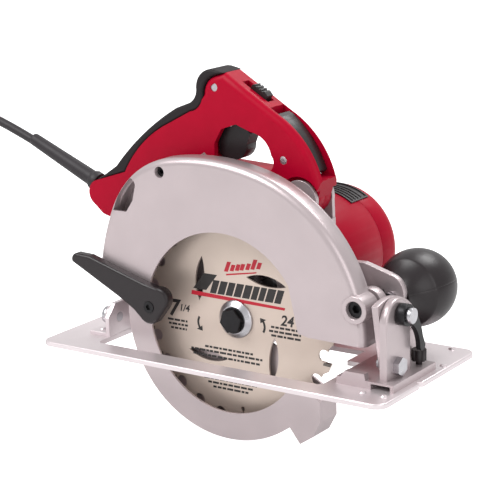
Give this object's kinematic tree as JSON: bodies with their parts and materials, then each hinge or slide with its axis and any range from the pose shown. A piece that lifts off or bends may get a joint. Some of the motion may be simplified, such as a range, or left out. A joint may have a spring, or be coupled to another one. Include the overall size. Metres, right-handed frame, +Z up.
{
  "type": "circular saw",
  "caption": "Portable circular saw with a toothed blade, fixed and retracting guards, tilting shoe, motor, pivoting D handle, front knob and mains cord.",
  "frame": {"origin": "point on the shoe's bottom face straight below the arbor, in the blade's mid-plane", "axes": "+X in the cutting direction, +Y from the blade towards the motor, +Z up"},
  "size_m": [0.577, 0.194, 0.2946],
  "materials": {
    "red_plastic": "satin",
    "black_rubber": "matte",
    "black_plastic": "satin",
    "cast_alloy": "satin",
    "shoe_alloy": "satin",
    "blade_steel": "brushed",
    "bright_steel": "satin",
    "dark_steel": "satin",
    "copper": "satin",
    "carbon": "matte"
  },
  "bodies": {
    "shoe": {"shoe_plate": "shoe_alloy", "shoe_rivets": "shoe_alloy", "front_bracket": "cast_alloy", "rear_bracket": "shoe_alloy", "bevel_pins": "bright_steel", "bevel_stud": "bright_steel"},
    "fence_screw": {"fence_screw": "black_plastic"},
    "bevel_frame": {"bevel_yoke": "cast_alloy", "depth_bracket": "shoe_alloy"},
    "saw_body": {"upper_guard": "cast_alloy", "guard_back": "cast_alloy", "gear_case": "cast_alloy", "motor_housing": "red_plastic", "motor_end_cap": "red_plastic", "stator_core": "dark_steel", "field_coils": "copper", "brush_holders": "black_plastic", "carbon_brushes": "carbon", "ball_bearings": "bright_steel", "knob_bracket": "cast_alloy", "knob_bolt": "bright_steel", "knob_upper_half": "black_plastic", "knob_lower_half": "black_plastic", "depth_pivot_bolt": "dark_steel", "depth_stud": "bright_steel", "guard_screw": "dark_steel", "housing_screws": "bright_steel", "handle_mount": "cast_alloy", "tilt_bolt": "bright_steel"},
    "blade_spindle": {"spindle": "bright_steel", "spindle_gear": "bright_steel", "inner_flange": "bright_steel", "outer_flange": "bright_steel", "blade_bolt": "dark_steel", "saw_blade": "blade_steel"},
    "armature": {"armature_shaft": "bright_steel", "armature_pinion": "bright_steel", "armature_core": "dark_steel", "commutator": "copper", "cooling_fan": "black_plastic"},
    "lower_guard": {"lower_guard": "cast_alloy", "guard_lever": "black_plastic", "lever_screw": "dark_steel"},
    "handle": {"handle_near_shell": "red_plastic", "handle_far_shell": "red_plastic", "grip_cover": "black_rubber", "handle_screws": "bright_steel", "handle_pins": "bright_steel", "switch_body": "black_plastic", "strain_relief": "black_rubber", "power_cord": "black_rubber", "cord_coil": "black_rubber", "cord_tie": "black_plastic", "mains_plug": "black_rubber"},
    "trigger": {"trigger": "black_plastic"},
    "tilt_lever": {"tilt_lever": "black_plastic"},
    "thumb_catch": {"thumb_catch": "black_plastic"},
    "bevel_lever": {"bevel_lever": "dark_steel"},
    "depth_lever": {"depth_lever": "black_plastic"},
    "spindle_lock": {"spindle_lock_button": "black_plastic"}
  },
  "joints": [
    {"name": "bevel_tilt", "type": "hinge", "parent": "shoe", "child": "bevel_frame", "pos_m": [0, -0.01, 0.018], "axis": [1, 0, 0], "range_deg": [0, 50]},
    {"name": "depth_pivot", "type": "hinge", "parent": "bevel_frame", "child": "saw_body", "pos_m": [0.122, 0, 0.06], "axis": [0, 1, 0], "range_deg": [0, 28]},
    {"name": "spindle_spin", "type": "hinge", "parent": "saw_body", "child": "blade_spindle", "pos_m": [0, 0, 0.03], "axis": [0, 1, 0], "continuous": true},
    {"name": "armature_spin", "type": "hinge", "parent": "saw_body", "child": "armature", "pos_m": [0.02155, 0, 0.05758], "axis": [0, 1, 0], "continuous": true},
    {"name": "lower_guard_swing", "type": "hinge", "parent": "saw_body", "child": "lower_guard", "pos_m": [0, 0, 0.03], "axis": [0, 1, 0], "range_deg": [0, 115], "stiffness_Nm_per_rad": 0.2, "springref_deg": -57.3},
    {"name": "handle_tilt", "type": "hinge", "parent": "saw_body", "child": "handle", "pos_m": [0.052, 0.028, 0.13], "axis": [0, 1, 0], "range_deg": [0, 30]},
    {"name": "trigger_pull", "type": "hinge", "parent": "handle", "child": "trigger", "pos_m": [-0.014, 0.028, 0.184], "axis": [0, 1, 0], "range_deg": [0, 8], "stiffness_Nm_per_rad": 0.6, "springref_deg": -11.46},
    {"name": "tilt_lever_swing", "type": "hinge", "parent": "handle", "child": "tilt_lever", "pos_m": [0.059, 0.028, 0.154], "axis": [0, 1, 0], "range_deg": [0, 40]},
    {"name": "thumb_catch_slide", "type": "slide", "parent": "handle", "child": "thumb_catch", "axis": [-0.8649, 0, 0.5019], "range_m": [0, 0.004], "stiffness_N_per_m": 300, "springref_m": -0.003},
    {"name": "bevel_lever_swing", "type": "hinge", "parent": "shoe", "child": "bevel_lever", "pos_m": [0.156, -0.00651, 0.05785], "axis": [1, 0, 0], "range_deg": [0, 50]},
    {"name": "depth_lever_swing", "type": "hinge", "parent": "saw_body", "child": "depth_lever", "pos_m": [-0.06385, 0.024, 0.0205], "axis": [0, 1, 0], "range_deg": [0, 60]},
    {"name": "spindle_lock_press", "type": "slide", "parent": "saw_body", "child": "spindle_lock", "axis": [1, 0, 0], "range_m": [0, 0.004], "stiffness_N_per_m": 600, "springref_m": -0.003},
    {"name": "fence_screw_turn", "type": "hinge", "parent": "shoe", "child": "fence_screw", "pos_m": [0.152, 0.024, 0.012], "axis": [0, 0, 1], "continuous": true}
  ],
  "couplings": [
    {"joint": "armature_spin", "follows": "spindle_spin", "ratio": -3.3077}
  ]
}
